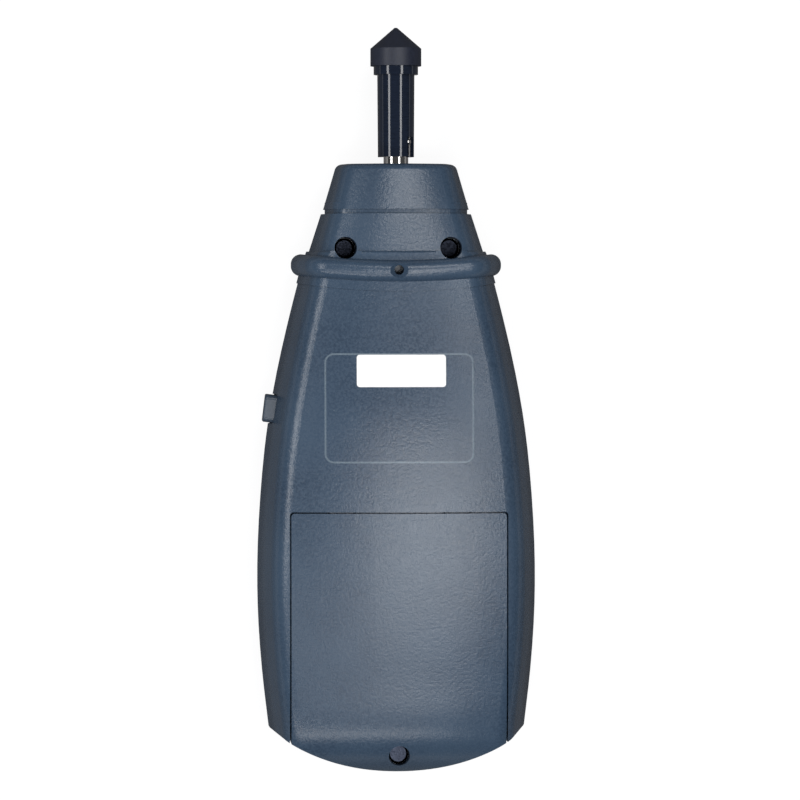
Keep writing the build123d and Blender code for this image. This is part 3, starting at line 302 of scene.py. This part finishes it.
bright_screw = metal(
    "plated_screw", (0.45, 0.45, 0.46, 1), (0.6, 0.6, 0.6, 1), (0.2, 0.3),
    (2500, 2500, 2500),
)
aluminium = metal(
    "turned_aluminium", (0.62, 0.63, 0.64, 1), (0.74, 0.75, 0.76, 1), (0.2, 0.32),
    (600, 3000, 600),
)
brass = metal(
    "turned_brass", (0.60, 0.42, 0.17, 1), (0.72, 0.53, 0.24, 1), (0.18, 0.3),
    (600, 3000, 600),
)
contact = metal(
    "nickel_plated", (0.56, 0.54, 0.50, 1), (0.70, 0.67, 0.62, 1), (0.2, 0.3)
)
label = coated(
    "label_film", srgb(246, 246, 247), srgb(252, 252, 252), (0.3, 0.4),
    (900, 900, 900), 0.000008,
)
sleeve = coated(
    "blackened_sleeve", srgb(20, 27, 40), srgb(28, 36, 52), (0.06, 0.10),
    (600, 3500, 600), 0.000004,
)
rubber = coated(
    "black_rubber", srgb(24, 29, 44), srgb(33, 39, 56), (0.42, 0.55),
    (1800, 1800, 1800), 0.00002,
)
lcd = coated("lcd_glass", srgb(128, 139, 126), srgb(137, 148, 134), (0.15, 0.25))
board = coated(
    "solder_mask", srgb(20, 84, 46), srgb(30, 104, 58), (0.25, 0.4), (900, 900, 900)
)
can = coated(
    "cell_wrap", srgb(64, 70, 78), srgb(76, 82, 90), (0.2, 0.3), (500, 2500, 2500)
)
window = clear("display_window")

wearers = (
    (housing, ("back_cover", "front_cover", "battery_door")),
    (cap, ("nose_cap",)),
    (button, ("measuring_button", "memory_button", "function_knob")),
    (black_plastic, ("lcd_frame", "controller_chip", "photo_interrupter")),
    (black_plastic, ("measuring_switch", "function_switch", "memory_switch")),
    (light_plastic, ("elastomer_strips", "measuring_plunger", "memory_plunger")),
    (steel, ("spindle", "cross_pin", "front_bearing", "rear_bearing")),
    (dark_screw, ("nose_screws", "battery_door_screw")),
    (bright_screw, ("housing_screws", "board_screws", "retaining_ring")),
    (aluminium, ("capacitors", "encoder_disc", "bearing_block")),
    (brass, ("disc_hub",)),
    (contact, ("crystal", "right_contacts", "left_contact", "battery_terminals")),
    (label, ("label_plate",)),
    (sleeve, ("adapter_sleeve",)),
    (rubber, ("rubber_cone",)),
    (lcd, ("lcd_panel",)),
    (board, ("main_board",)),
    (can, ("battery_1", "battery_2", "battery_3", "battery_4")),
    (window, ("display_window",)),
)
looks = {name: material for material, names in wearers for name in names}
for name, node in nodes.items():
    for slot in node.material_slots:
        slot.material = looks[name]


# Floor: pale paper that takes the shadow, and that looks white to the camera,
# through clear parts and in distant reflections

FLOOR_HALF = 2.5
FLOOR_HEIGHT = -0.0002
FLOOR_GLOW = 0.89
REFLECTION_NEAR, REFLECTION_FAR = 0.10, 0.50

floor_mesh = bpy.data.meshes.new("floor")
floor_mesh.from_pydata(
    [
        (x * FLOOR_HALF, y * FLOOR_HALF, FLOOR_HEIGHT)
        for x, y in ((-1, -1), (1, -1), (1, 1), (-1, 1))
    ],
    [],
    [(0, 1, 2, 3)],
)
floor = bpy.data.objects.new("floor", floor_mesh)
scene.collection.objects.link(floor)

g = Graph("floor_paper")
tone = g.spread(g.noise(60, detail=3.0, rough=0.5))
paper = g.finish(
    Base_Color=g.mix(tone, (0.13, 0.13, 0.135, 1), (0.15, 0.15, 0.155, 1)),
    Roughness=0.7,
)
floor_mesh.materials.append(paper)
ray = g.node("LightPath").outputs
distant = g.ramp(ray["Ray Length"], REFLECTION_NEAR, REFLECTION_FAR)
mirrored = g.math("MULTIPLY", ray["Is Glossy Ray"], distant)
direct = g.math("MAXIMUM", ray["Is Camera Ray"], ray["Is Transmission Ray"])
glow = g.node("Emission")
g.feed(glow.inputs["Color"], (1, 1, 1, 1))
g.feed(glow.inputs["Strength"], FLOOR_GLOW)
seen = g.node("MixShader")
g.feed(seen.inputs[0], g.math("MAXIMUM", direct, mirrored))
g.feed(seen.inputs[2], glow.outputs["Emission"])
both = g.node("AddShader")
g.feed(both.inputs[0], g.shader.outputs["BSDF"])
g.feed(both.inputs[1], seen.outputs["Shader"])
g.feed(g.surface, both.outputs["Shader"])


# World and lamps

world = bpy.data.worlds.new("studio")
scene.world = world
world.use_nodes = True
background = world.node_tree.nodes["Background"]
background.inputs["Color"].default_value = (0.95, 0.97, 1.0, 1)
background.inputs["Strength"].default_value = 0.08

LAMP_HEIGHT = 0.55
AIM_HEIGHT = 0.02


def softbox(name, x, y, aim_y, width, height, watts):
    """Rectangular lamp that looks at the part's middle line, its width along X."""
    data = bpy.data.lights.new(name, "AREA")
    data.shape = "RECTANGLE"
    data.size = width
    data.size_y = height
    data.energy = watts
    lamp = bpy.data.objects.new(name, data)
    lamp.location = (x, y, LAMP_HEIGHT)
    back = (Vector((x, y, LAMP_HEIGHT)) - Vector((0, aim_y, AIM_HEIGHT))).normalized()
    across = (Vector((1, 0, 0)) - back * back.x).normalized()
    lamp.rotation_euler = Matrix((across, back.cross(across), back)).transposed().to_euler()
    scene.collection.objects.link(lamp)


softbox("left", -0.53, 0.06, 0.02, 0.15, 0.38, 1.30)
softbox("left_tip", -0.40, 0.30, 0.14, 0.12, 0.10, 0.27)
softbox("tip", 0.10, 0.30, 0.14, 0.34, 0.09, 0.90)
softbox("sheen", 0.10, -0.06, -0.03, 0.32, 0.11, 0.88)
softbox("sky", -0.05, -0.17, -0.08, 0.50, 0.10, 0.36)
softbox("foot", -0.20, -0.46, -0.20, 0.85, 0.12, 1.70)
softbox("right", 0.29, 0.10, 0.06, 0.12, 0.09, 0.25)


# Camera at the photograph's place, from a fit to the outline

camera_data = bpy.data.cameras.new("camera")
camera_data.sensor_width = 36.0
camera_data.lens = 202.17
camera_data.clip_start = 0.05
camera_data.clip_end = 20.0
camera = bpy.data.objects.new("camera", camera_data)
camera.rotation_mode = "XYZ"
camera.location = (-0.06045, 0.02138, 1.2)
camera.rotation_euler = Euler((-0.018385, -0.051999, -0.000876), "XYZ")
scene.collection.objects.link(camera)
scene.camera = camera

scene.view_settings.view_transform = "Standard"
